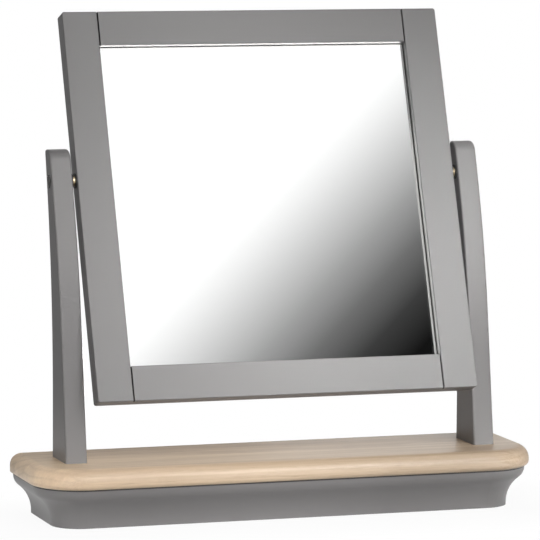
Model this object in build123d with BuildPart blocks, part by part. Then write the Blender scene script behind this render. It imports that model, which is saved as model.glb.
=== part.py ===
"""A tilting dressing mirror: an oak-topped base, two swept uprights and a square framed pane."""
import os
from math import atan2, cos, degrees, radians, sin

from build123d import *

# Sizes in millimetres. The origin is the middle of the underside, +Z is up and the mirror faces -Y.

# Outline of the base from above: it runs past the uprights, has a flat back and rounded front corners
base_overhang = 37.7
base_depth = 131.0
base_corner = 53.5
board_back_corner = 5.0

# Oak board
oak_thickness = 20.5
oak_top_round = 13.8
oak_under_round = 4.5

# Plinth, with a bead that turns into a cove on the front and both ends
plinth_height = 42.5
plinth_setback = 4.5
bead_flat = 1.5
bead_radius = 14.0
cove_run = 19.0
toe_height = 3.0

# Frame of the mirror
frame_width = 409.4
frame_height = 410.1
frame_thickness = 19.0
stile_width = 37.2
rail_width = 36.2
lip_thickness = 6.5
frame_arris = 1.0
frame_corner = 2.5
groove_width = 1.3
groove_depth = 4.5

# Tenons of the rails
tenon_length = 12.0
tenon_thickness = 6.0
tenon_shoulder = 3.0
tenon_set_in = 7.0

# Pane and back panel, one behind the other in a stepped rebate
glass_thickness = 4.0
glass_lap = 7.0
panel_thickness = 4.0
panel_lap = 10.0
pane_play = 0.8

# Uprights: straight at the foot, then swept back to the head
upright_width = 22.6
foot_front = 18.3
foot_depth = 52.7
front_lean = 8.5
front_straight = 127.0
back_straight = 62.0
head_depth = 20.4
head_rise = 31.7
head_front_round = 13.0
head_back_round = 3.0
upright_arris = 2.2

# Pivot, high enough for the frame to swing clear of the board, and the photographed tilt
pivot_back = 47.3
pivot_on_frame = 232.9
swing_clearance = 48.1
tilt = 19.8

# Pivot hardware
bolt_diameter = 6.0
bolt_head_diameter = 10.0
bolt_head_height = 3.6
bolt_socket = 4.0
bolt_socket_depth = 2.0
counterbore_room = 1.0
counterbore_depth = 7.0
bolt_washer_diameter = 12.5
bolt_washer_thickness = 1.2
insert_diameter = 9.5
insert_length = 14.0
thread_spare = 4.0
collar_diameter = 11.0
collar_length = 2.5
collar_chamfer = 0.3
washer_diameter = 15.6
frame_washer_thickness = 1.0
post_washer_thickness = 1.2

# Wood screws
upright_screw_diameter = 5.0
upright_screw_head = 9.5
upright_screw_sink = 22.0
upright_screw_bite = 35.0
upright_screw_spacing = 28.0
top_screw_diameter = 4.0
top_screw_head = 8.0
top_screw_sink = 26.0
top_screw_bite = 13.0
top_screw_from_end = 110.0
top_screw_from_edge = 38.0
screw_head_height = 2.8
panel_screw_diameter = 3.0
panel_screw_head = 6.2
panel_screw_bite = 5.0
panel_screw_spacing = 220.0

# Clearances
running_clearance = 0.05
slip_gap = 0.3
joint_clearance = 0.1
screw_clearance = 0.05
washer_clearance = 0.3
seat_clearance = 0.05
head_room = 0.8

# Places that follow from the sizes
base_height = plinth_height + oak_thickness
pivot_height = base_height + swing_clearance + pivot_on_frame
front_y = -base_depth / 2
back_y = base_depth / 2
side_gap = frame_washer_thickness + collar_length + slip_gap + post_washer_thickness
upright_inner = frame_width / 2 + side_gap
upright_outer = upright_inner + upright_width
upright_middle = upright_inner + upright_width / 2
foot_middle = foot_depth / 2 - foot_front
base_length = 2 * (upright_outer + base_overhang)
glass_front = lip_thickness + seat_clearance
panel_front = glass_front + glass_thickness + seat_clearance
step_depth = panel_front - seat_clearance
panel_back = panel_front + panel_thickness
sight_width = frame_width - 2 * stile_width
sight_height = frame_height - 2 * rail_width
sight_middle = frame_height / 2 - pivot_on_frame
screw_offset = glass_lap + panel_lap / 2
tenon_width = rail_width - glass_lap - panel_lap - 2 * tenon_shoulder
counterbore_radius = bolt_washer_diameter / 2 + counterbore_room
bolt_seat = upright_outer - counterbore_depth + slip_gap + bolt_washer_thickness

# Plane of the frame through the pivot: local x across, y up the frame, z out of the front
mirror_plane = Plane(
    origin=(0, pivot_back, pivot_height),
    x_dir=(1, 0, 0),
    z_dir=(0, -cos(radians(tilt)), sin(radians(tilt))),
)
frame_up = Axis(mirror_plane.origin, mirror_plane.y_dir)
frame_front = Axis(mirror_plane.origin, mirror_plane.z_dir)


def in_frame(across, up, depth):
    """Point of the frame: depth is measured back from the front face."""
    return mirror_plane.from_local_coords((across, up, frame_thickness / 2 - depth))


def beneath(x, y, z):
    """Plane that looks straight down, for holes drilled from beneath."""
    return Plane(origin=(x, y, z), x_dir=(1, 0, 0), z_dir=(0, 0, -1))


def facing_out(side, x):
    """Plane across the pivot axis at distance x from the middle, looking away from the mirror."""
    return Plane(origin=(side * x, pivot_back, pivot_height), x_dir=(0, 1, 0), z_dir=(side, 0, 0))


def finish(builder, label):
    """Names a finished piece and writes it."""
    builder.part.label = label
    export_step(builder.part, "parts/" + label + ".step")


os.makedirs("parts", exist_ok=True)

upright_screw_places = [
    (side * upright_middle, foot_middle + row * upright_screw_spacing / 2)
    for side in (-1, 1)
    for row in (-1, 1)
]
top_screw_places = [
    (side * (base_length / 2 - top_screw_from_end), row * (base_depth / 2 - top_screw_from_edge))
    for side in (-1, 1)
    for row in (-1, 1)
]

# Plinth: the moulding is run round three sides of a plain core that fills the middle
plinth_half = base_length / 2 - plinth_setback
ogee_height = plinth_height - bead_flat - toe_height
ogee_turn = 2 * degrees(atan2(cove_run, ogee_height))
cove_radius = ogee_height / sin(radians(ogee_turn)) - bead_radius
foot_corner = base_corner - plinth_setback - cove_run
moulding_depth = cove_run + foot_corner / 2
core_inset = cove_run + foot_corner / 4
core_half = plinth_half - core_inset
core_front = front_y + plinth_setback + core_inset
with BuildPart() as plinth:
    with BuildLine() as moulding_run:
        FilletPolyline(
            (-plinth_half, back_y),
            (-plinth_half, front_y + plinth_setback),
            (plinth_half, front_y + plinth_setback),
            (plinth_half, back_y),
            radius=base_corner - plinth_setback,
        )
    with BuildSketch(Plane(origin=(-plinth_half, back_y, 0), x_dir=(1, 0, 0), z_dir=(0, -1, 0))):
        with BuildLine():
            flat = Line((0, plinth_height), (0, plinth_height - bead_flat))
            bead = JernArc(flat @ 1, flat % 1, bead_radius, ogee_turn)
            cove = JernArc(bead @ 1, bead % 1, cove_radius, -ogee_turn)
            Polyline(
                cove @ 1,
                (cove_run, 0),
                (moulding_depth, 0),
                (moulding_depth, plinth_height),
                (0, plinth_height),
            )
        make_face()
    sweep(path=moulding_run.wires()[0])
    with BuildSketch():
        with BuildLine():
            core_sides = FilletPolyline(
                (-core_half, back_y),
                (-core_half, core_front),
                (core_half, core_front),
                (core_half, back_y),
                radius=base_corner - plinth_setback - core_inset,
            )
            Line(core_sides @ 1, core_sides @ 0)
        make_face()
    extrude(amount=plinth_height)
    with Locations(*[beneath(x, y, 0) for x, y in upright_screw_places]):
        CounterBoreHole(
            upright_screw_diameter / 2 + screw_clearance,
            upright_screw_head / 2 + head_room,
            upright_screw_sink,
        )
    with Locations(*[beneath(x, y, 0) for x, y in top_screw_places]):
        CounterBoreHole(
            top_screw_diameter / 2 + screw_clearance,
            top_screw_head / 2 + head_room,
            top_screw_sink,
        )
finish(plinth, "plinth")

# Oak board: rounded over on the front and both ends, square along the back but for its two corners
under_round = min(oak_under_round, 0.9 * (oak_thickness - oak_top_round))
with BuildPart() as oak_top:
    with BuildSketch(Plane.XY.offset(plinth_height)):
        with BuildLine():
            board_sides = FilletPolyline(
                (-base_length / 2, back_y),
                (-base_length / 2, front_y),
                (base_length / 2, front_y),
                (base_length / 2, back_y),
                radius=base_corner,
            )
            Line(board_sides @ 1, board_sides @ 0)
        make_face()
    extrude(amount=oak_thickness)
    fillet(oak_top.faces().sort_by(Axis.Z)[-1].edges().sort_by(Axis.Y)[:-1], oak_top_round)
    fillet(oak_top.faces().sort_by(Axis.Z)[0].edges().sort_by(Axis.Y)[:-1], under_round)
    with BuildSketch(Plane.XY.offset(plinth_height)):
        with Locations((0, back_y - base_depth)):
            RectangleRounded(base_length, 2 * base_depth, board_back_corner)
    extrude(amount=oak_thickness, mode=Mode.INTERSECT)
    with Locations(*[(x, y, base_height) for x, y in upright_screw_places]):
        Hole(upright_screw_diameter / 2 + screw_clearance)
    with Locations(*[beneath(x, y, plinth_height) for x, y in top_screw_places]):
        Hole(top_screw_diameter / 2 + screw_clearance, top_screw_bite + screw_clearance)
finish(oak_top, "oak_top")

# Uprights: one outline seen from the side, as thick as the upright is wide
upright_top = pivot_height + head_rise
for side, name in ((-1, "left_upright"), (1, "right_upright")):
    with BuildPart() as upright:
        with BuildSketch(Plane.YZ.offset(min(side * upright_inner, side * upright_outer))) as outline:
            with BuildLine():
                lean = (sin(radians(front_lean)), cos(radians(front_lean)))
                shin = PolarLine(
                    (-foot_front, base_height),
                    front_straight,
                    direction=lean,
                    length_mode=LengthMode.VERTICAL,
                )
                sweep_front = TangentArc(
                    shin @ 1, (pivot_back - head_depth / 2, pivot_height), tangent=shin % 1
                )
                brow = PolarLine(
                    sweep_front @ 1,
                    head_rise,
                    direction=sweep_front % 1,
                    length_mode=LengthMode.VERTICAL,
                )
                heel = Line(
                    (foot_depth - foot_front, base_height),
                    (foot_depth - foot_front, base_height + back_straight),
                )
                sweep_back = TangentArc(
                    heel @ 1, (pivot_back + head_depth / 2, pivot_height), tangent=heel % 1
                )
                nape = PolarLine(
                    sweep_back @ 1,
                    head_rise,
                    direction=sweep_back % 1,
                    length_mode=LengthMode.VERTICAL,
                )
                Line(brow @ 1, nape @ 1)
                Line(shin @ 0, heel @ 0)
            make_face()
            fillet(outline.vertices().group_by(Axis.Y)[-1].sort_by(Axis.X)[0], head_front_round)
            fillet(outline.vertices().sort_by(Axis.X)[-1], head_back_round)
        extrude(amount=upright_width)
        foot_edges = upright.faces().sort_by(Axis.Z)[0].edges()
        cheeks = upright.faces().filter_by(Axis.X)
        fillet([e for face in cheeks for e in face.edges() if e not in foot_edges], upright_arris)
        with Locations(facing_out(side, upright_outer)):
            CounterBoreHole(
                bolt_diameter / 2 + running_clearance, counterbore_radius, counterbore_depth
            )
        with Locations(*[beneath(x, y, base_height) for x, y in upright_screw_places if x * side > 0]):
            Hole(upright_screw_diameter / 2 + screw_clearance, upright_screw_bite + screw_clearance)
    finish(upright, name)


def wood_screws(places, diameter, head, sink, tip):
    """Screws driven upwards: a round head, a shank and a short cone at the tip."""
    with BuildPart() as screws:
        with Locations(*[(x, y, sink) for x, y in places]):
            Cylinder(diameter / 2, tip - sink - diameter, align=(Align.CENTER, Align.CENTER, Align.MIN))
            Cylinder(head / 2, screw_head_height, align=(Align.CENTER, Align.CENTER, Align.MAX))
        with Locations(*[(x, y, tip - diameter) for x, y in places]):
            Cone(diameter / 2, 0, diameter, align=(Align.CENTER, Align.CENTER, Align.MIN))
    return screws


finish(
    wood_screws(
        upright_screw_places,
        upright_screw_diameter,
        upright_screw_head,
        upright_screw_sink,
        base_height + upright_screw_bite,
    ),
    "upright_screws",
)
finish(
    wood_screws(
        top_screw_places,
        top_screw_diameter,
        top_screw_head,
        top_screw_sink,
        plinth_height + top_screw_bite,
    ),
    "top_screws",
)


def rebated_section(width, sense):
    """Corners of a frame member's section: outer edge at x = 0, front at y = 0, two steps behind."""
    inner = width - glass_lap
    back = inner - panel_lap
    return [
        (0, 0),
        (width, 0),
        (width, sense * lip_thickness),
        (inner, sense * lip_thickness),
        (inner, sense * step_depth),
        (back, sense * step_depth),
        (back, sense * frame_thickness),
        (0, sense * frame_thickness),
    ]


def stile_plane(side):
    """Lower end of a stile, local x towards the pane."""
    return Plane(
        origin=in_frame(side * frame_width / 2, -pivot_on_frame, 0),
        x_dir=(-side, 0, 0),
        z_dir=mirror_plane.y_dir,
    )


def tenon_planes(end):
    """Middles of the two tenons of a rail, on the faces of the stiles that they enter."""
    edge = sight_middle + end * (frame_height / 2 - tenon_shoulder - tenon_width / 2)
    reach = frame_width / 2 - stile_width + glass_lap + panel_lap
    middle = tenon_set_in + tenon_thickness / 2
    return [
        Plane(origin=in_frame(s * reach, edge, middle), x_dir=mirror_plane.y_dir, z_dir=(s, 0, 0))
        for s in (-1, 1)
    ]


def groove_plane(across, up):
    """Place on the front face of the frame, looking out of it."""
    return Plane(origin=in_frame(across, up, 0), x_dir=(1, 0, 0), z_dir=mirror_plane.z_dir)


def panel_screw_plane(across, up):
    """Place of a screw on the back of the panel, looking out of it; up is from the pane's middle."""
    return Plane(
        origin=in_frame(across, sight_middle + up, panel_back),
        x_dir=(1, 0, 0),
        z_dir=-mirror_plane.z_dir,
    )


def stile_screw_planes(side):
    """The two panel screws of a stile."""
    across = side * (sight_width / 2 + screw_offset)
    return [panel_screw_plane(across, row * panel_screw_spacing / 2) for row in (-1, 1)]


def rail_screw_planes(end):
    """The two panel screws of a rail."""
    up = end * (sight_height / 2 + screw_offset)
    return [panel_screw_plane(row * panel_screw_spacing / 2, up) for row in (-1, 1)]


panel_screw_planes = [p for end in (-1, 1) for p in stile_screw_planes(end) + rail_screw_planes(end)]
panel_screw_length = panel_thickness + seat_clearance + panel_screw_bite
panel_screw_hole = panel_screw_diameter / 2 + screw_clearance

# Stiles: rebated section over the full height, mortised for the rails and bored for the pivot
for side, name in ((-1, "left_stile"), (1, "right_stile")):
    with BuildPart() as stile:
        with BuildSketch(stile_plane(side)):
            Polygon(*rebated_section(stile_width, -side), align=None)
        extrude(amount=frame_height)
        corner_edges = stile.edges().filter_by(frame_front).group_by(Axis.X)[min(0, -side)]
        fillet(corner_edges, frame_corner)
        fillet(stile.edges().group_by(frame_front)[-1], frame_arris)
        back_edges = stile.edges().group_by(frame_front)[0]
        fillet(back_edges.sort_by(Axis.X, reverse=side > 0)[:-1], frame_arris)
        with Locations(*[tenon_planes(end)[(side + 1) // 2] for end in (-1, 1)]):
            Box(
                tenon_width + 2 * joint_clearance,
                tenon_thickness + 2 * joint_clearance,
                2 * (tenon_length + joint_clearance),
                mode=Mode.SUBTRACT,
            )
        with Locations(facing_out(side, frame_width / 2)):
            Hole(insert_diameter / 2 + screw_clearance, insert_length + screw_clearance)
        with Locations(*stile_screw_planes(side)):
            Hole(panel_screw_hole, panel_screw_length + screw_clearance)
    finish(stile, name)

# Rails: the same kind of section, with ends cut to the steps of the stiles and tenoned into them
for end, name in ((1, "top_rail"), (-1, "bottom_rail")):
    rail_edge = sight_middle + end * frame_height / 2
    with BuildPart() as rail:
        with BuildSketch(
            Plane(origin=in_frame(0, rail_edge, 0), x_dir=-end * mirror_plane.y_dir, z_dir=(1, 0, 0))
        ):
            Polygon(*rebated_section(rail_width, end), align=None)
        extrude(amount=frame_width / 2, both=True)
        for side in (-1, 1):
            with BuildSketch(stile_plane(side)):
                Polygon(*rebated_section(stile_width, -side), align=None)
                offset(amount=joint_clearance, kind=Kind.INTERSECTION)
            extrude(amount=frame_height, mode=Mode.SUBTRACT)
        long_edges = rail.edges().filter_by(Axis.X)
        fillet(long_edges.group_by(frame_front)[-1], frame_arris)
        fillet(long_edges.group_by(frame_front)[0].sort_by(frame_up, reverse=end > 0)[0], frame_arris)
        with Locations(*[groove_plane(s * sight_width / 2, rail_edge) for s in (-1, 1)]):
            Box(2 * groove_width, 2 * rail_width, 2 * groove_depth, mode=Mode.SUBTRACT)
        with Locations(*tenon_planes(end)):
            Box(tenon_width, tenon_thickness, 2 * tenon_length)
        with Locations(*rail_screw_planes(end)):
            Hole(panel_screw_hole, panel_screw_length + screw_clearance)
    finish(rail, name)

# Pane, resting against the lip
with BuildPart() as mirror_glass:
    with BuildSketch(mirror_plane.offset(frame_thickness / 2 - glass_front)):
        with Locations((0, sight_middle)):
            Rectangle(
                sight_width + 2 * (glass_lap - pane_play), sight_height + 2 * (glass_lap - pane_play)
            )
    extrude(amount=-glass_thickness)
finish(mirror_glass, "mirror_glass")

# Back panel on the outer step of the rebate, with its countersunk screws
with BuildPart() as back_panel:
    with BuildSketch(mirror_plane.offset(frame_thickness / 2 - panel_front)):
        with Locations((0, sight_middle)):
            Rectangle(
                sight_width + 2 * (glass_lap + panel_lap - pane_play),
                sight_height + 2 * (glass_lap + panel_lap - pane_play),
            )
    extrude(amount=-panel_thickness)
    with Locations(*panel_screw_planes):
        CounterSinkHole(
            panel_screw_hole, panel_screw_head / 2 + screw_clearance, counter_sink_angle=90
        )
finish(back_panel, "back_panel")

with BuildPart() as back_panel_screws:
    with Locations(*panel_screw_planes):
        Cylinder(
            panel_screw_diameter / 2,
            panel_screw_length,
            align=(Align.CENTER, Align.CENTER, Align.MAX),
        )
        Cone(
            panel_screw_diameter / 2,
            panel_screw_head / 2,
            (panel_screw_head - panel_screw_diameter) / 2,
            align=(Align.CENTER, Align.CENTER, Align.MAX),
        )
finish(back_panel_screws, "back_panel_screws")

# Pivot hardware of each side: socket in the stile, spacer in the gap and bolt through the upright
bolt_length = bolt_seat - frame_width / 2 + insert_length - thread_spare
for side, name in ((-1, "left"), (1, "right")):
    with BuildPart() as insert:
        with Locations(facing_out(side, frame_width / 2)):
            Cylinder(
                insert_diameter / 2, insert_length, align=(Align.CENTER, Align.CENTER, Align.MAX)
            )
            Hole(bolt_diameter / 2 + running_clearance)
    finish(insert, name + "_pivot_insert")

    with BuildPart() as collar:
        with Locations(facing_out(side, frame_width / 2 + frame_washer_thickness)):
            Cylinder(
                collar_diameter / 2, collar_length, align=(Align.CENTER, Align.CENTER, Align.MIN)
            )
            Hole(bolt_diameter / 2 + running_clearance)
        rims = collar.edges().filter_by(GeomType.CIRCLE).group_by(SortBy.RADIUS)[-1]
        chamfer(rims, collar_chamfer)
    finish(collar, name + "_pivot_collar")

    with BuildPart() as bolt:
        with Locations(facing_out(side, bolt_seat)):
            Cylinder(bolt_diameter / 2, bolt_length, align=(Align.CENTER, Align.CENTER, Align.MAX))
            Cylinder(
                bolt_head_diameter / 2, bolt_head_height, align=(Align.CENTER, Align.CENTER, Align.MIN)
            )
        rim = bolt.edges().filter_by(GeomType.CIRCLE).sort_by(Axis.X, reverse=side > 0)[0]
        fillet(rim, bolt_head_height / 2)
        with BuildSketch(facing_out(side, bolt_seat + bolt_head_height)):
            RegularPolygon(bolt_socket / 2, 6, major_radius=False)
        extrude(amount=-bolt_socket_depth, mode=Mode.SUBTRACT)
    finish(bolt, name + "_pivot_bolt")


def washers(label, outer, bore, thickness, x):
    """One washer on each side of the mirror, with its inner face at distance x from the middle."""
    with BuildPart() as pair:
        with Locations(*[facing_out(side, x) for side in (-1, 1)]):
            Cylinder(outer / 2, thickness, align=(Align.CENTER, Align.CENTER, Align.MIN))
            Cylinder(
                bore / 2 + washer_clearance,
                thickness,
                align=(Align.CENTER, Align.CENTER, Align.MIN),
                mode=Mode.SUBTRACT,
            )
    finish(pair, label)


washers("frame_washers", washer_diameter, bolt_diameter, frame_washer_thickness, frame_width / 2)
washers(
    "post_washers",
    washer_diameter,
    bolt_diameter,
    post_washer_thickness,
    upright_inner - post_washer_thickness,
)
washers(
    "bolt_washers",
    bolt_washer_diameter,
    bolt_diameter,
    bolt_washer_thickness,
    bolt_seat - bolt_washer_thickness,
)
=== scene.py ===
# %% [markdown]
# # Dressing a shaving mirror
# The solids of this mirror were drawn in CAD and packed as a fixed frame: a painted plinth, an oak
# board, two swept uprights and a square framed pane that tilts between them. This lesson loads that
# frame, gives every piece the finish of the real one, adds the few small forms that CAD left plain,
# and lights the result and sets up the camera.

# %% Load the frame
import math

import bmesh
import bpy
from mathutils import Matrix, Vector


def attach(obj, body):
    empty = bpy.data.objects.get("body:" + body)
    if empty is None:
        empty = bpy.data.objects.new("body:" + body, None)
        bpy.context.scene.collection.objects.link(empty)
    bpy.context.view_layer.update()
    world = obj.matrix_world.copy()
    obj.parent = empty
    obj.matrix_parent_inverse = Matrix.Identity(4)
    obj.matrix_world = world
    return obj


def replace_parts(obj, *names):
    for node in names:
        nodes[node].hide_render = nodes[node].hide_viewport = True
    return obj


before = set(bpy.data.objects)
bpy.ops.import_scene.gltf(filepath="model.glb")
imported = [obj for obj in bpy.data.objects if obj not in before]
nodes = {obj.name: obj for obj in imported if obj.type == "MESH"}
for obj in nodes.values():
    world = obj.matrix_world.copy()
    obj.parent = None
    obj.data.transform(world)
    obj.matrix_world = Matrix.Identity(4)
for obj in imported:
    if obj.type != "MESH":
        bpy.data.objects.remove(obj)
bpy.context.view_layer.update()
mm = 0.001  # everything is in metres, and small sizes read better in millimetres

# %% [markdown]
# ## Where the mirror is
# The frame leans back on its pivots, so nothing on it is square to the room. Its tilt could be
# typed in again, but a value that is measured can't go stale: the largest face of the pane gives
# the direction that it faces, and the other two directions follow from that one.

# %% Measure the tilt of the pane
pane_mesh = nodes["mirror_glass"].data
pane_corners = [v.co.copy() for v in pane_mesh.vertices]
pane_middle = sum(pane_corners, Vector()) / len(pane_corners)
front_bonus = 1e-3  # lets the front win over the back, which is as large
largest = max(pane_mesh.polygons, key=lambda face: face.area - face.normal.y * front_bonus)
pane_front = largest.normal.copy()
pane_across = Vector((1, 0, 0))
pane_up = pane_front.cross(pane_across)
tilt = math.degrees(math.asin(pane_front.z))
print("pane faces", [round(c, 4) for c in pane_front], "tilt", round(tilt, 2), "degrees")

# %% Measure the pane in its own directions
pane_to_world = Matrix((pane_across, pane_up, pane_front)).transposed().to_4x4()
pane_to_world.translation = pane_middle
local = [pane_to_world.inverted() @ corner for corner in pane_corners]
pane_size = [max(c[i] for c in local) - min(c[i] for c in local) for i in range(3)]
print("pane in millimetres", [round(side / mm, 2) for side in pane_size])

# %% [markdown]
# ## The camera
# The photograph was taken from the left of the mirror and a little above it, from about four metres
# away with a long lens, so its lines hardly converge. The place, the direction and the lens below
# were fitted to the edges of the board, the frame and the uprights. The picture is square, and its
# middle is a little beside the lens axis, which is what the small shift gives.

# %% Set up the camera
camera_data = bpy.data.cameras.new("camera")
camera_data.sensor_width = 36.0
camera_data.lens = 265.36
camera_data.shift_x = 0.0048
camera = bpy.data.objects.new("camera", camera_data)
bpy.context.scene.collection.objects.link(camera)
look_right = Vector((0.9488, -0.31581, 0.00626))
look_up = Vector((0.02992, 0.10958, 0.99353))
look_back = Vector((-0.31445, -0.94247, 0.11342))
camera.matrix_world = Matrix((look_right, look_up, look_back)).transposed().to_4x4()
camera.location = (-1.2983, -3.85226, 0.71556)
bpy.context.scene.camera = camera
print("camera", [round(c, 3) for c in camera.location], "lens", camera_data.lens)

# %% [markdown]
# ## A short way to write node trees
# Every finish here is a node tree that reads Object coordinates, so its pattern is fixed to the
# piece in metres and goes on round the edges as it would in solid wood. A few helpers keep the
# trees short. One starts a material, one adds a node with its values and links, and the others make
# what comes back in every finish: stretched noise, a change of range, a mix of colours and a fine
# relief.

# %% Helpers for node trees
def new_finish(name):
    """A material with its tree, its surface shader and the coordinates of the piece."""
    material = bpy.data.materials.new(name)
    material.use_nodes = True
    tree = material.node_tree
    shader = tree.nodes["Principled BSDF"]
    place = tree.nodes.new("ShaderNodeTexCoord").outputs["Object"]
    return material, tree, shader, place


def put(tree, kind, inputs=(), **settings):
    """Adds a node. Inputs are values, or sockets to join, by name or number."""
    made = tree.nodes.new("ShaderNode" + kind)
    for key, value in settings.items():
        setattr(made, key, value)
    for key, value in dict(inputs).items():
        if isinstance(value, bpy.types.NodeSocket):
            tree.links.new(value, made.inputs[key])
        else:
            made.inputs[key].default_value = value
    return made


def speckle(tree, place, scale, detail=2.0, roughness=0.5):
    """Noise that is stretched by its own scale along x, y and z, in cells per metre."""
    stretched = put(tree, "Mapping", {"Vector": place, "Scale": scale})
    settings = {"Scale": 1.0, "Detail": detail, "Roughness": roughness}
    noise = put(tree, "TexNoise", {"Vector": stretched.outputs[0], **settings})
    return noise.outputs["Fac"]


def spread(tree, value, low, high, to_low, to_high):
    """Maps the part of a value between low and high to another range, and stops at its ends."""
    ends = {"From Min": low, "From Max": high, "To Min": to_low, "To Max": to_high}
    return put(tree, "MapRange", {"Value": value, **ends}).outputs[0]


def blend_colour(tree, amount, colour_a, colour_b, how="MIX"):
    """Mixes two colours, each a value or a socket, by the colour sockets of a Mix node."""
    sockets = {0: amount, 6: colour_a, 7: colour_b}
    return put(tree, "Mix", sockets, data_type="RGBA", blend_type=how).outputs[2]


def relief(tree, shader, height, distance, strength):
    """Gives a shader a fine relief, with its depth in metres."""
    bump = put(tree, "Bump", {"Height": height, "Distance": distance, "Strength": strength})
    tree.links.new(bump.outputs[0], shader.inputs["Normal"])


def dress(material, *names):
    """Puts a finish on CAD nodes."""
    for name in names:
        mesh = nodes[name].data
        mesh.materials.clear()
        mesh.materials.append(material)
    print(material.name, "on", len(names), "nodes")


# %% [markdown]
# ## Satin grey paint
# The frame, the uprights and the plinth are sprayed in a warm mid grey with a satin sheen. Sprayed
# paint isn't one flat colour: it is a shade lighter or darker where more or less of it fell, and it
# dries with a very fine ripple. So the tree has a slow drift of shade, a slow drift of sheen and a
# ripple about a millimetre wide that is only a few hundredths of a millimetre deep.
#
# Three places differ. The frame's lip next to the pane is smoother, because a moulding cutter left
# it crisp. The open joints between rails and stiles are painted near black as painted shade, where
# shadow falls in the grooves, and the narrow seam under the oak's edge gets a painted shadow too.
# They could be modelled as strips of their own, but a mask by place is simpler and follows the
# solids: the lip and the joints are found in the pane's own directions, and the seam by its height.

# %% Find the lip, the joints and the seam
def in_pane_directions(tree, place):
    """How far a place is from the pane's middle: sideways, up or down, and forward."""
    turned = put(
        tree,
        "Mapping",
        {"Vector": place, "Location": pane_middle, "Rotation": pane_to_world.to_euler()},
        vector_type="TEXTURE",
    ).outputs[0]
    forward = put(tree, "SeparateXYZ", {0: turned}).outputs["Z"]
    unsigned = put(tree, "VectorMath", {0: turned}, operation="ABSOLUTE").outputs[0]
    sizes = put(tree, "SeparateXYZ", {0: unsigned}).outputs
    return sizes["X"], sizes["Y"], forward


def calculate(tree, operation, a, b=0.0):
    """One sum on one or two values."""
    return put(tree, "Math", {0: a, 1: b}, operation=operation).outputs[0]


def lowest_along(name, axis):
    """How near a node comes to the pane's middle along an axis."""
    return min((vertex.co - pane_middle).dot(axis) for vertex in nodes[name].data.vertices)


opening_width = lowest_along("right_stile", pane_across)
opening_height = lowest_along("top_rail", pane_up)
oak_bottom = min(vertex.co.z for vertex in nodes["oak_top"].data.vertices)
opening = [round(2 * half / mm, 1) for half in (opening_width, opening_height)]
print("opening", opening, "mm, underside of the oak at", round(oak_bottom / mm, 2), "mm")

# %% Mix the paint
thin_paint, thick_paint = (0.193, 0.1855, 0.185, 1), (0.214, 0.206, 0.205, 1)
paint, tree, shader, place = new_finish("satin_grey_paint")
drift = speckle(tree, place, (7, 7, 7), detail=3.0)
ripple = speckle(tree, place, (700, 700, 700), detail=2.0)
shade = blend_colour(tree, drift, thin_paint, thick_paint)
across, up, forward = in_pane_directions(tree, place)
beside = calculate(tree, "SUBTRACT", across, opening_width)
above = calculate(tree, "SUBTRACT", up, opening_height)
print("paint between", thin_paint[:3], "and", thick_paint[:3])

# %% Paint shade into the joints and the seam
joint_middle = 0.65 * mm  # from the side of the opening, towards the pane's middle
joint_ahead = 5.6 * mm  # from the pane's middle to the middle of a joint's groove
# near-black painted shadow colour for the joint grooves and the seam under the oak
painted_shadow_colour = (0.014, 0.011, 0.009, 1)
joint_side = calculate(tree, "ABSOLUTE", calculate(tree, "ADD", beside, joint_middle))
joint_depth = calculate(tree, "ABSOLUTE", calculate(tree, "SUBTRACT", forward, joint_ahead))
in_width = spread(tree, joint_side, 0.8 * mm, 1.0 * mm, 1, 0)
in_depth = spread(tree, joint_depth, 1.6 * mm, 2.0 * mm, 1, 0)
past_lip = spread(tree, above, 0.5 * mm, 0.9 * mm, 0, 1)
joint_shade = calculate(tree, "MULTIPLY", calculate(tree, "MULTIPLY", in_width, in_depth), past_lip)
height = put(tree, "SeparateXYZ", {0: place}).outputs["Z"]
over_bead = spread(tree, height, oak_bottom - 1.6 * mm, oak_bottom - 1.1 * mm, 0, 1)
under_oak = spread(tree, height, oak_bottom + 0.4 * mm, oak_bottom + 0.8 * mm, 1, 0)
seam_shadow = calculate(tree, "MULTIPLY", over_bead, under_oak)
# painted shade: the grooves and the seam under the oak are darkened in colour where shadow falls
painted_shade = calculate(tree, "MAXIMUM", joint_shade, seam_shadow)
tree.links.new(blend_colour(tree, painted_shade, shade, painted_shadow_colour), shader.inputs["Base Color"])
print("dark joints", round(joint_ahead / mm, 1), "mm ahead of the pane's middle")

# %% Give the paint its sheen
off_lip = calculate(tree, "MAXIMUM", beside, above)
satin = spread(tree, drift, 0.3, 0.7, 0.4, 0.46)
crisp = spread(tree, off_lip, 0.3 * mm, 0.9 * mm, 0.35, 1.0)
tree.links.new(calculate(tree, "MULTIPLY", satin, crisp), shader.inputs["Roughness"])
shader.inputs["Specular IOR Level"].default_value = 0.4
relief(tree, shader, ripple, 0.04 * mm, 0.35)
dress(paint, "plinth", "left_upright", "right_upright")
dress(paint, "left_stile", "right_stile", "top_rail", "bottom_rail")

# %% [markdown]
# ## Limed oak
# The board is a single plank of oak with a pale limed lacquer. A tree's rings are nested tubes, so
# the grain is drawn as distance from a line that runs along the plank, far below it. The board cuts
# those tubes, and the same sum gives long lines on top, lines that follow the rounded edge, and
# arcs on the ends. On top of the rings come broad streaks, the short dark pores that oak is known
# for, and pale flecks where its rays come to the surface. At the two ends the fibres are cut
# across, so the long lines fade there. A wood texture could be an image, but this one has no seam
# at the edges.

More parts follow.
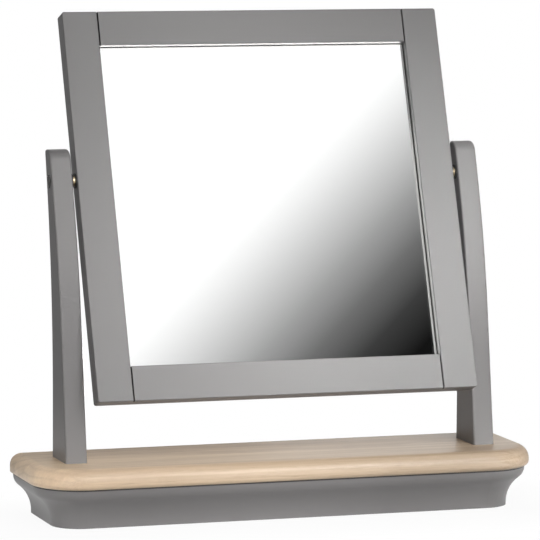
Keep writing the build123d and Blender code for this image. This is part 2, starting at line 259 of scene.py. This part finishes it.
# %% Work out the rings
half_rings_per_metre = 260.0  # a ring is one way up and one way down
heart = {"Location": (0, 0.03, 0.16), "Scale": (0.05, 1, 1)}
oak, tree, shader, place = new_finish("limed_oak")
wander = speckle(tree, place, (4, 9, 9), detail=3.0)
sway = spread(tree, wander, 0.0, 1.0, -11 * mm, 11 * mm)
swayed = put(tree, "VectorMath", {0: place, 1: sway}, operation="ADD").outputs[0]
from_heart = put(tree, "Mapping", {"Vector": swayed, **heart}).outputs[0]
radius = put(tree, "VectorMath", {0: from_heart}, operation="LENGTH").outputs["Value"]
ring_count = calculate(tree, "MULTIPLY", radius, half_rings_per_metre)
ring = calculate(tree, "PINGPONG", ring_count, 1.0)
spring_wood = spread(tree, ring, 0.55, 1.0, 0.0, 1.0)
print("rings about", round(2 / half_rings_per_metre / mm, 1), "mm apart")

# %% Draw the grain
facing = put(tree, "SeparateXYZ", {0: place.node.outputs["Normal"]}).outputs["X"]
end_grain = spread(tree, calculate(tree, "ABSOLUTE", facing), 0.25, 0.8, 0.0, 1.0)
streaks = speckle(tree, place, (2.5, 38, 38), detail=4.0, roughness=0.6)
lines = speckle(tree, place, (4, 270, 270), detail=3.0, roughness=0.65)
fibres = speckle(tree, place, (22, 900, 900), detail=3.0)
pore_scale = (70, 1900, 1900)
pores = spread(tree, speckle(tree, place, pore_scale, detail=1.0), 0.56, 0.68, 0.0, 1.0)
flecks = spread(tree, speckle(tree, place, (55, 420, 170), detail=1.0), 0.62, 0.72, 0.0, 1.0)
long_lines = spread(tree, lines, 0.42, 0.68, 0, 0.6)
line_share = calculate(tree, "MULTIPLY", long_lines, spread(tree, end_grain, 0, 1, 1, 0.2))
pore_depth = calculate(tree, "MULTIPLY", pores, spread(tree, spring_wood, 0, 1, 0.2, 0.6))
print("pores about", [round(1 / cells / mm, 1) for cells in pore_scale], "mm")

# %% Colour the oak
tan, cream = (0.58, 0.44, 0.305, 1), (0.78, 0.62, 0.45, 1)
lit_end_tint, shaded_end_tint = (1.2, 1.18, 1.14, 1), (0.78, 0.765, 0.75, 1)
ground = blend_colour(tree, spread(tree, streaks, 0.32, 0.68, 0, 1), tan, cream)
layers = {
    "lines": (line_share, (0.45, 0.32, 0.205, 1)),
    "fibres": (spread(tree, fibres, 0.3, 0.7, 0, 0.25), (0.5, 0.365, 0.24, 1)),
    "rings": (spread(tree, spring_wood, 0, 1, 0, 0.35), (0.46, 0.325, 0.21, 1)),
    "pores": (pore_depth, (0.38, 0.26, 0.165, 1)),
    "flecks": (spread(tree, flecks, 0, 1, 0, 0.12), (0.82, 0.68, 0.52, 1)),
}
for share, colour in layers.values():
    ground = blend_colour(tree, share, ground, colour)
# painted light and shade: the colour lightens the plank's left end and darkens its right end, as
# the light falls along it
along_plank = put(tree, "SeparateXYZ", {0: place}).outputs["X"]
tone = blend_colour(tree, spread(tree, along_plank, -0.27, 0.2, 0.0, 1.0), lit_end_tint, shaded_end_tint)
ground = blend_colour(tree, 1.0, ground, tone, how="MULTIPLY")
tree.links.new(ground, shader.inputs["Base Color"])
print("oak coloured by streaks,", ", ".join(layers))

# %% Lacquer the oak
tree.links.new(spread(tree, streaks, 0.3, 0.7, 0.44, 0.37), shader.inputs["Roughness"])
shader.inputs["Specular IOR Level"].default_value = 0.65
relief(tree, shader, spread(tree, pore_depth, 0, 1, 1, 0), 0.08 * mm, 0.5)
dress(oak, "oak_top")

# %% [markdown]
# ## The pane
# A mirror is a sheet of glass with silver on its back, so what it shows lies a little behind the
# frame's lip, with a dark line between the lip and its reflection. A metal face on the front of the
# solid would lose that line. Here the CAD pane becomes clear glass with a trace of green, and a
# thin silver coat is added behind it.

# %% Clear glass for the pane
glass, tree, shader, place = new_finish("clear_plate_glass")
green_tint, clear_tint = (0.996, 0.999, 0.997, 1), (0.997, 1.0, 0.998, 1)
tint = blend_colour(tree, speckle(tree, place, (3, 3, 3)), green_tint, clear_tint)
tree.links.new(tint, shader.inputs["Base Color"])
shader.inputs["Roughness"].default_value = 0.0
shader.inputs["IOR"].default_value = 1.52
shader.inputs["Transmission Weight"].default_value = 1.0
dress(glass, "mirror_glass")

# %% Silver behind the glass
def finished_piece(name, mesh, material, body, sharp_degrees=30):
    """Makes a mesh a piece of the object that moves with a body."""
    shape = bpy.data.meshes.new(name)
    mesh.to_mesh(shape)
    mesh.free()
    shape.polygons.foreach_set("use_smooth", [True] * len(shape.polygons))
    shape.set_sharp_from_angle(angle=math.radians(sharp_degrees))
    shape.materials.append(material)
    piece = bpy.data.objects.new(name, shape)
    bpy.context.scene.collection.objects.link(piece)
    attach(piece, body)
    print(name, len(shape.polygons), "faces on", body)
    return piece


coat_depth = 0.02 * mm
coat_gap = 0.01 * mm
dull_silver, bright_silver = (0.988, 0.988, 0.988, 1), (0.994, 0.994, 0.994, 1)
silver, tree, shader, place = new_finish("silver_coat")
tone = blend_colour(tree, speckle(tree, place, (5, 5, 5)), dull_silver, bright_silver)
tree.links.new(tone, shader.inputs["Base Color"])
shader.inputs["Metallic"].default_value = 1.0
shader.inputs["Roughness"].default_value = 0.0
coat = bmesh.new()
bmesh.ops.create_cube(coat, size=1.0)
bmesh.ops.scale(coat, vec=(pane_size[0], pane_size[1], coat_depth), verts=coat.verts)
behind = Vector((0, 0, -pane_size[2] / 2 - coat_gap - coat_depth / 2))
bmesh.ops.translate(coat, vec=behind, verts=coat.verts)
bmesh.ops.transform(coat, matrix=pane_to_world, verts=coat.verts)
finished_piece("silver_coat", coat, silver, "mirror")

# %% [markdown]
# ## Hardboard back
# The pane is kept in by a sheet of brown hardboard. Hardboard is wood fibre pressed flat, so it has
# no grain: short fibres lie every way, with darker crumbs among them and a dull sheen.

# %% Press the hardboard
hardboard, tree, shader, place = new_finish("brown_hardboard")
dark_pulp, light_pulp = (0.15, 0.085, 0.047, 1), (0.225, 0.14, 0.083, 1)
pale_fibre, dark_crumb = (0.27, 0.175, 0.105, 1), (0.075, 0.042, 0.024, 1)
mottle = speckle(tree, place, (30, 30, 30), detail=5.0, roughness=0.65)
fibre = speckle(tree, place, (420, 420, 420), detail=4.0, roughness=0.7)
crumbs = spread(tree, speckle(tree, place, (260, 260, 260), detail=1.0), 0.62, 0.72, 0.0, 0.5)
brown = blend_colour(tree, mottle, dark_pulp, light_pulp)
brown = blend_colour(tree, spread(tree, fibre, 0.35, 0.65, 0, 0.5), brown, pale_fibre)
brown = blend_colour(tree, crumbs, brown, dark_crumb)
tree.links.new(brown, shader.inputs["Base Color"])
tree.links.new(spread(tree, mottle, 0.3, 0.7, 0.5, 0.68), shader.inputs["Roughness"])
relief(tree, shader, fibre, 0.06 * mm, 0.5)
dress(hardboard, "back_panel")

# %% [markdown]
# ## Brass, steel and nylon
# Each pivot has a turned brass collar between two black nylon washers, on a dark steel bolt.
# Turning leaves fine rings round the axis, which here is the x axis, so the collar's tree makes
# rings from x alone. The steel is plated and only a little uneven, and the nylon is nearly black.

# %% Turned brass
brass, tree, shader, place = new_finish("turned_brass")
tarnish = speckle(tree, place, (160, 160, 160), detail=3.0)
tool_lines = speckle(tree, place, (9000, 0, 0), detail=1.0)
old_brass, new_brass = (0.42, 0.33, 0.2, 1), (0.56, 0.46, 0.3, 1)
tree.links.new(blend_colour(tree, tarnish, old_brass, new_brass), shader.inputs["Base Color"])
tree.links.new(spread(tree, tarnish, 0.3, 0.7, 0.2, 0.34), shader.inputs["Roughness"])
shader.inputs["Metallic"].default_value = 1.0
relief(tree, shader, tool_lines, 0.02 * mm, 0.4)
dress(brass, "left_pivot_collar", "right_pivot_collar")
dress(brass, "left_pivot_insert", "right_pivot_insert")

# %% Plated and blackened steel
def steel_finish(name, dark, light, rough, uneven=0.06):
    """Steel with a slightly uneven plating."""
    material, tree, shader, place = new_finish(name)
    cloud = speckle(tree, place, (240, 240, 240), detail=3.0)
    tree.links.new(blend_colour(tree, cloud, dark, light), shader.inputs["Base Color"])
    roughness = spread(tree, cloud, 0.3, 0.7, rough - uneven, rough + uneven)
    tree.links.new(roughness, shader.inputs["Roughness"])
    shader.inputs["Metallic"].default_value = 1.0
    return material


zinc_dark, zinc_light = (0.46, 0.45, 0.42, 1), (0.6, 0.59, 0.56, 1)
black_dark, black_light = (0.09, 0.085, 0.08, 1), (0.15, 0.143, 0.135, 1)
plated_steel = steel_finish("plated_steel", zinc_dark, zinc_light, 0.36)
blackened_steel = steel_finish("blackened_steel", black_dark, black_light, 0.42)
dress(blackened_steel, "left_pivot_bolt", "right_pivot_bolt", "bolt_washers")

# %% Black nylon
nylon, tree, shader, place = new_finish("black_nylon")
cloud = speckle(tree, place, (300, 300, 300), detail=2.0)
near_black, soft_black = (0.009, 0.009, 0.009, 1), (0.016, 0.016, 0.016, 1)
tree.links.new(blend_colour(tree, cloud, near_black, soft_black), shader.inputs["Base Color"])
tree.links.new(spread(tree, cloud, 0.3, 0.7, 0.42, 0.55), shader.inputs["Roughness"])
dress(nylon, "frame_washers", "post_washers")

# %% [markdown]
# ## Cross-head screws
# Eight countersunk screws hold the back in, and eight more are driven up from beneath, into the
# uprights and the board. CAD has them as plain round solids, but a real head has a cross recess for
# the driver. A screw is turned work: half of its outline, spun round its axis, gives all of it. The
# recess is then cut with a cross-shaped tool by a Boolean, which is simpler than building it up
# from faces. The places are measured on the CAD screws.

# %% Spin a screw
def spun(outline, steps=32):
    """A closed solid of revolution round the z axis, from points of radius and height."""
    turned = bmesh.new()
    corners = [turned.verts.new((radius, 0, height)) for radius, height in outline]
    sides = [turned.edges.new(pair) for pair in zip(corners, corners[1:])]
    bmesh.ops.spin(
        turned,
        geom=corners + sides,
        cent=(0, 0, 0),
        axis=(0, 0, 1),
        angle=2 * math.pi,
        steps=steps,
        use_merge=True,
    )
    bmesh.ops.remove_doubles(turned, verts=turned.verts, dist=1e-7)
    bmesh.ops.recalc_face_normals(turned, faces=turned.faces)
    return turned


# %% Cut the recess
def cross_tool(reach, width, depth, tip_share=0.4):
    """A cross with arms that taper to a share of their size, as deep as it stands up."""
    tool = bmesh.new()
    bmesh.ops.create_cube(tool, size=1.0)
    bmesh.ops.scale(tool, vec=(width, width, 2 * depth), verts=tool.verts)
    tool.normal_update()
    walls = [face for face in tool.faces if abs(face.normal.z) < 0.5]
    for arm in bmesh.ops.extrude_discrete_faces(tool, faces=walls)["faces"]:
        bmesh.ops.translate(tool, vec=arm.normal * (reach - width / 2), verts=arm.verts)
    tip = [vert for vert in tool.verts if vert.co.z < 0]
    bmesh.ops.scale(tool, vec=(tip_share, tip_share, 1), verts=tip)
    bmesh.ops.recalc_face_normals(tool, faces=tool.faces)
    return tool


def carved(blank, tool):
    """Cuts one shape out of another and returns the mesh that is left."""
    pair = []
    for shape in (blank, tool):
        mesh = bpy.data.meshes.new("carving")
        shape.to_mesh(mesh)
        shape.free()
        pair.append(bpy.data.objects.new("carving", mesh))
        bpy.context.scene.collection.objects.link(pair[-1])
    cut = pair[0].modifiers.new("cut", "BOOLEAN")
    cut.operation = "DIFFERENCE"
    cut.solver = "EXACT"
    cut.object = pair[1]
    seen = pair[0].evaluated_get(bpy.context.evaluated_depsgraph_get())
    left = bpy.data.meshes.new_from_object(seen)
    for made in pair:
        bpy.data.meshes.remove(made.data)
    return left


# %% Find the CAD screws
def solids_of(name):
    """The corners of each separate solid of a CAD node."""
    whole = bmesh.new()
    whole.from_mesh(nodes[name].data)
    bmesh.ops.remove_doubles(whole, verts=whole.verts, dist=1e-6)
    groups = []
    for start in whole.verts:
        if start.tag:
            continue
        start.tag = True
        queue, corners = [start], []
        while queue:
            vert = queue.pop()
            corners.append(vert.co.copy())
            for edge in vert.link_edges:
                other = edge.other_vert(vert)
                if not other.tag:
                    other.tag = True
                    queue.append(other)
        groups.append(corners)
    whole.free()
    return groups


def span(values):
    """Middle and width of a list of numbers."""
    return (max(values) + min(values)) / 2, max(values) - min(values)


for name in ("back_panel_screws", "upright_screws", "top_screws"):
    print(len(solids_of(name)), "screws in", name)


# %% Put a screw at each place
recess_shares = 0.62, 0.26, 0.4  # reach, width and depth of the cross, of the head's radius
next_turn = 0.9  # no two recesses stop at the same angle


def cross_head_screws(node, body, out, outline_of):
    """Replaces the screws of a CAD node by ones with a recess; out is where their heads look."""
    turn = Vector(out).to_track_quat("Z", "Y").to_matrix()
    screws = bmesh.new()
    for number, corners in enumerate(solids_of(node)):
        local = [turn.inverted() @ corner for corner in corners]
        (x, width), (y, _), (z, length) = (span([c[i] for c in local]) for i in range(3))
        head = width / 2
        tool = cross_tool(*(share * head for share in recess_shares))
        one = carved(spun(outline_of(head, length)), tool)
        start = len(screws.verts)
        screws.from_mesh(one)
        bpy.data.meshes.remove(one)
        screws.verts.ensure_lookup_table()
        place = turn.to_4x4() @ Matrix.Translation((x, y, z + length / 2))
        place = place @ Matrix.Rotation(next_turn * number, 4, "Z")
        bmesh.ops.transform(screws, matrix=place, verts=screws.verts[start:])
    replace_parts(finished_piece("cross_head_" + node, screws, plated_steel, body), node)


def countersunk(head, length, shank=1.5 * mm, edge=0.1 * mm):
    """Outline of a countersunk screw, with the flat of its head at height 0."""
    return [
        (0, 0),
        (head - 2 * edge, 0),
        (head - edge, -edge),
        (shank, shank - head),
        (shank, 2 * shank - length),
        (0, -length),
    ]


def round_head(head, length, height=2.8 * mm, shank_share=0.51, dome_share=0.6):
    """Outline of a screw with a low domed head, with the top of the dome at height 0."""
    shank = shank_share * head
    rise = dome_share * height
    angles = (0, 0.3, 0.6, 0.9, 1.2, 1.57)
    dome = [(head * math.sin(angle), rise * (math.cos(angle) - 1)) for angle in angles]
    return dome + [(head, -height), (shank, -height), (shank, 2 * shank - length), (0, -length)]


cross_head_screws("back_panel_screws", "mirror", -pane_front, countersunk)
cross_head_screws("upright_screws", "stand", (0, 0, -1), round_head)
cross_head_screws("top_screws", "stand", (0, 0, -1), round_head)

# %% [markdown]
# ## The floor and the white surroundings
# The photograph has a plain white ground. The floor is pale and matt, and it keeps a faint shadow
# of the base, which is gone a hand's breadth away from it. What the camera, a reflection or glass
# sees of the floor is otherwise plain white, and so is the sky, but the light that falls on the
# mirror from all round is kept at an ordinary level. A Light Path node tells the two apart, because
# it says what kind of ray is asking.

# %% Mix the floor's finish
pale_grey, paler_grey = (0.66, 0.66, 0.66, 1), (0.7, 0.7, 0.7, 1)
floor_finish, tree, shader, place = new_finish("pale_floor")
tone = blend_colour(tree, speckle(tree, place, (40, 40, 40)), pale_grey, paler_grey)
tree.links.new(tone, shader.inputs["Base Color"])
shader.inputs["Roughness"].default_value = 0.9
print("floor between", pale_grey[:3], "and", paler_grey[:3])

# %% Whiten the floor
def looked_at(tree):
    """1 for a ray from the camera, from a reflection or through glass, and 0 for other light."""
    ray = put(tree, "LightPath").outputs
    direct = calculate(tree, "MAXIMUM", ray["Is Camera Ray"], ray["Is Glossy Ray"])
    return calculate(tree, "MAXIMUM", direct, ray["Is Transmission Ray"])


under_base = (0.25, 0.05, 0)  # half the size of the floor that the base covers
shadow_reach = 0.12
white_at_base = 0.94
reach = put(tree, "VectorMath", {0: place}, operation="ABSOLUTE").outputs[0]
reach = put(tree, "VectorMath", {0: reach, 1: under_base}, operation="SUBTRACT").outputs[0]
reach = put(tree, "VectorMath", {0: reach, 1: (0, 0, 0)}, operation="MAXIMUM").outputs[0]
away = put(tree, "VectorMath", {0: reach}, operation="LENGTH").outputs["Value"]
whiteness = spread(tree, away, 0.0, shadow_reach, white_at_base, 1.0)
white_share = calculate(tree, "MULTIPLY", looked_at(tree), whiteness)
white = put(tree, "Emission", {"Color": (1, 1, 1, 1), "Strength": 1.0})
mixed = put(tree, "MixShader", {0: white_share, 1: shader.outputs[0], 2: white.outputs[0]})
tree.links.new(mixed.outputs[0], tree.nodes["Material Output"].inputs["Surface"])
print("floor white from", shadow_reach, "m beside the base")

# %% Lay the floor
def flat_sheet(name, half_size, material, tall=1.0, height=0.0):
    """A flat sheet for the stage. Tall is its length as a share of its width."""
    sheet = bmesh.new()
    bmesh.ops.create_grid(sheet, x_segments=1, y_segments=1, size=half_size)
    bmesh.ops.scale(sheet, vec=(1, tall, 1), verts=sheet.verts)
    bmesh.ops.translate(sheet, vec=(0, 0, height), verts=sheet.verts)
    mesh = bpy.data.meshes.new(name)
    sheet.to_mesh(mesh)
    sheet.free()
    mesh.materials.append(material)
    made = bpy.data.objects.new(name, mesh)
    bpy.context.scene.collection.objects.link(made)
    return made


floor_half = 6.0
floor = flat_sheet("floor", floor_half, floor_finish, height=-0.2 * mm)
print("floor", 2 * floor_half, "m square")

# %% Light the sky
sky_fill = 0.13
sky = bpy.data.worlds.new("sky")
bpy.context.scene.world = sky
sky.use_nodes = True
tree = sky.node_tree
fill = put(tree, "Background", {"Color": (1, 1, 1, 1), "Strength": sky_fill})
white = put(tree, "Background", {"Color": (1, 1, 1, 1), "Strength": 1.0})
mixed = put(tree, "MixShader", {0: looked_at(tree), 1: fill.outputs[0], 2: white.outputs[0]})
tree.links.new(mixed.outputs[0], tree.nodes["World Output"].inputs["Surface"])
print("sky is white to look at, and lights at", sky_fill)

# %% [markdown]
# ## What the mirror sees
# In the photograph the pane is white at its upper left and fades to near black at its lower right,
# because a dark screen stood to the right in front of it. Here that screen is a card whose
# brightness falls along one diagonal. It stands where the pane reflects the camera's view, and only
# reflections see it, so it casts no shadow and takes no light from the object.

# %% Find where the card stands
card_ahead = 1.1
to_camera = pane_to_world.inverted() @ camera.location
card_reach = card_ahead / to_camera.z
card_beside = -card_reach * to_camera.to_2d()
card_middle = pane_to_world @ Vector((*card_beside, card_ahead))
card_scale = 1 + card_reach
print("card at", [round(c, 3) for c in card_middle], "scale", round(card_scale, 3))

# %% Paint the card
def shine(tree, colour, power=1.0):
    """Lets a finish give light of its own, in place of its shader."""
    light = put(tree, "Emission", {"Color": colour, "Strength": power})
    tree.links.new(light.outputs[0], tree.nodes["Material Output"].inputs["Surface"])


fade_angle = math.radians(47.5)
fade_length = 0.22 * card_scale
fade_places = (0.0, 0.1, 0.27, 0.46, 0.64, 0.82, 1.0)
fade_levels = (1.06, 0.92, 0.645, 0.365, 0.162, 0.047, 0.007)
downhill = (math.cos(fade_angle), -math.sin(fade_angle), 0)
card_finish, tree, _, place = new_finish("fading_card")
along = put(tree, "VectorMath", {0: place, 1: downhill}, operation="DOT_PRODUCT").outputs["Value"]
fade = put(tree, "ValToRGB", {"Fac": spread(tree, along, 0.0, fade_length, 0.0, 1.0)})
for position in fade_places[1:-1]:
    fade.color_ramp.elements.new(position)
for element, level in zip(fade.color_ramp.elements, fade_levels):
    element.color = (level, level, level, 1)
shine(tree, fade.outputs[0])
print("card fades over", round(fade_length, 3), "m in", len(fade_levels), "steps")

# %% Stand the card in front of the mirror
def reflected_card(name, half_size, material, turn, place, tall=1.0):
    """A flat sheet that only reflections see."""
    card = flat_sheet(name, half_size, material, tall)
    card.matrix_world = Matrix.Translation(place) @ turn.to_4x4()
    card.visible_camera = card.visible_diffuse = card.visible_shadow = False
    print(name, "at", [round(c, 3) for c in place])


card_half = 0.28 * card_scale
reflected_card("fading_card", card_half, card_finish, pane_to_world.to_3x3(), card_middle)

# %% [markdown]
# ## What the sides see
# A face that is seen at a glancing angle reflects what stands behind the object. With nothing there
# but white, the board and the sides of the uprights would turn milky. In the photograph they keep
# their colour, so a dull screen stands behind, and again only reflections see it.

# %% Stand a dull screen behind
dull_grey, mid_grey = (0.43, 0.43, 0.43, 1), (0.49, 0.49, 0.49, 1)
dull_finish, tree, _, place = new_finish("dull_screen")
shine(tree, blend_colour(tree, speckle(tree, place, (3, 3, 3)), dull_grey, mid_grey))
upright = Matrix.Rotation(math.radians(90), 3, "X")
reflected_card("dull_screen", 1.6, dull_finish, upright, (0, 0.5, 1.0))

# %% [markdown]
# ## Two bright panels
# The frame's lip stands in front of the pane, so its faces are seen at a glancing angle and show,
# by way of the pane, what stands in front and on the left. In the photograph something bright
# stands there, and here two lit panels do. They draw a bright line along the lip and a soft gleam
# on the oak's edge. A brighter lip would be simpler, but it would shine from every side.

# %% Stand the panels
def glowing_panel(name, half_size, tall, power, place, target):
    """A bright panel that only reflections see and that faces a target."""
    warm_white, cool_white = (1, 0.985, 0.96, 1), (1, 0.995, 0.98, 1)
    finish, tree, _, coordinates = new_finish(name)
    cloud = speckle(tree, coordinates, (3, 3, 3))
    shine(tree, blend_colour(tree, cloud, warm_white, cool_white), power)
    turn = (Vector(target) - Vector(place)).to_track_quat("Z", "Y").to_matrix()
    reflected_card(name, half_size, finish, turn, Vector(place), tall)


glowing_panel("low_panel", 0.3, 0.27, 5.5, (0.32, -0.76, 0.5), (0.32, 0.1, 0.5))
glowing_panel("left_panel", 0.2, 1.0, 3.0, (-0.155, -0.7, 0.68), (0.17, 0.04, 0.32))

# %% [markdown]
# ## Lamps
# The light is soft and comes mostly from high in front, a little to the right, so the left sides
# fall off to a dark warm grey. One large lamp gives most of it, with soft edges to the shadows.
# Narrow beams lift the right of the frame, the left stile and the base, as the reflectors of a
# studio would. A low lamp reaches the bead and the underside of the oak's edge, two small ones
# reach the board's ends, and the lamps behind give the board its sheen and show the back.
#
# Cycles can also find a lamp by the rays that a surface reflects. Such rays stop at the cards that
# only reflections see, and the lamp would lose part of its light, so that way is turned off here.

# %% Hang the lamps
def soft_lamp(name, place, target, size, power, spread_angle=180):
    """A square soft lamp that points at a target, with its beam narrowed to an angle."""
    data = bpy.data.lights.new(name, "AREA")
    data.shape = "SQUARE"
    data.size = size
    data.energy = power
    data.spread = math.radians(spread_angle)
    data.cycles.use_multiple_importance_sampling = False
    lamp = bpy.data.objects.new(name, data)
    bpy.context.scene.collection.objects.link(lamp)
    lamp.location = place
    lamp.rotation_euler = (Vector(target) - Vector(place)).to_track_quat("-Z", "Y").to_euler()
    return lamp


lamps = [
    soft_lamp("key_lamp", (0.165, -0.615, 0.886), (0, 0, 0.25), 0.4, 2.55),
    soft_lamp("right_lamp", (0.345, -0.739, 0.63), (0.185, 0, 0.285), 0.4, 0.36, 33),
    soft_lamp("middle_lamp", (0.345, -0.739, 0.63), (0.05, 0, 0.14), 0.4, 0.165, 45),
    soft_lamp("left_lamp", (-0.357, -0.766, 0.558), (-0.21, 0, 0.02), 0.4, 0.25, 36),
    soft_lamp("stile_lamp", (-0.357, -0.766, 0.558), (-0.19, 0, 0.43), 0.4, 0.15, 20),
    soft_lamp("low_lamp", (0.12, -0.88, 0.11), (-0.01, 0, 0.03), 0.2, 0.095, 40),
    soft_lamp("left_end_lamp", (-0.75, -0.55, 0.1), (-0.268, -0.02, 0.035), 0.1, 0.012, 10),
    soft_lamp("right_end_lamp", (0.72, -0.62, 0.12), (0.25, -0.05, 0.045), 0.1, 0.016, 10),
    soft_lamp("board_lamp", (0.1, 0.75, 0.8), (-0.05, 0, 0.05), 0.4, 0.035, 34),
    soft_lamp("sheen_lamp", (0.443, 0.768, 0.406), (0.1, 0, 0.05), 0.4, 0.14, 90),
    soft_lamp("back_lamp", (0.5, 0.95, 0.03), (0, 0.09, 0.2), 0.04, 1.0, 70),
]
print("lamps:", ", ".join(lamp.name for lamp in lamps))

# %% [markdown]
# ## Finish
# Colours are shown as they are written.

# %% Show colours as they are written
bpy.context.scene.view_settings.view_transform = "Standard"
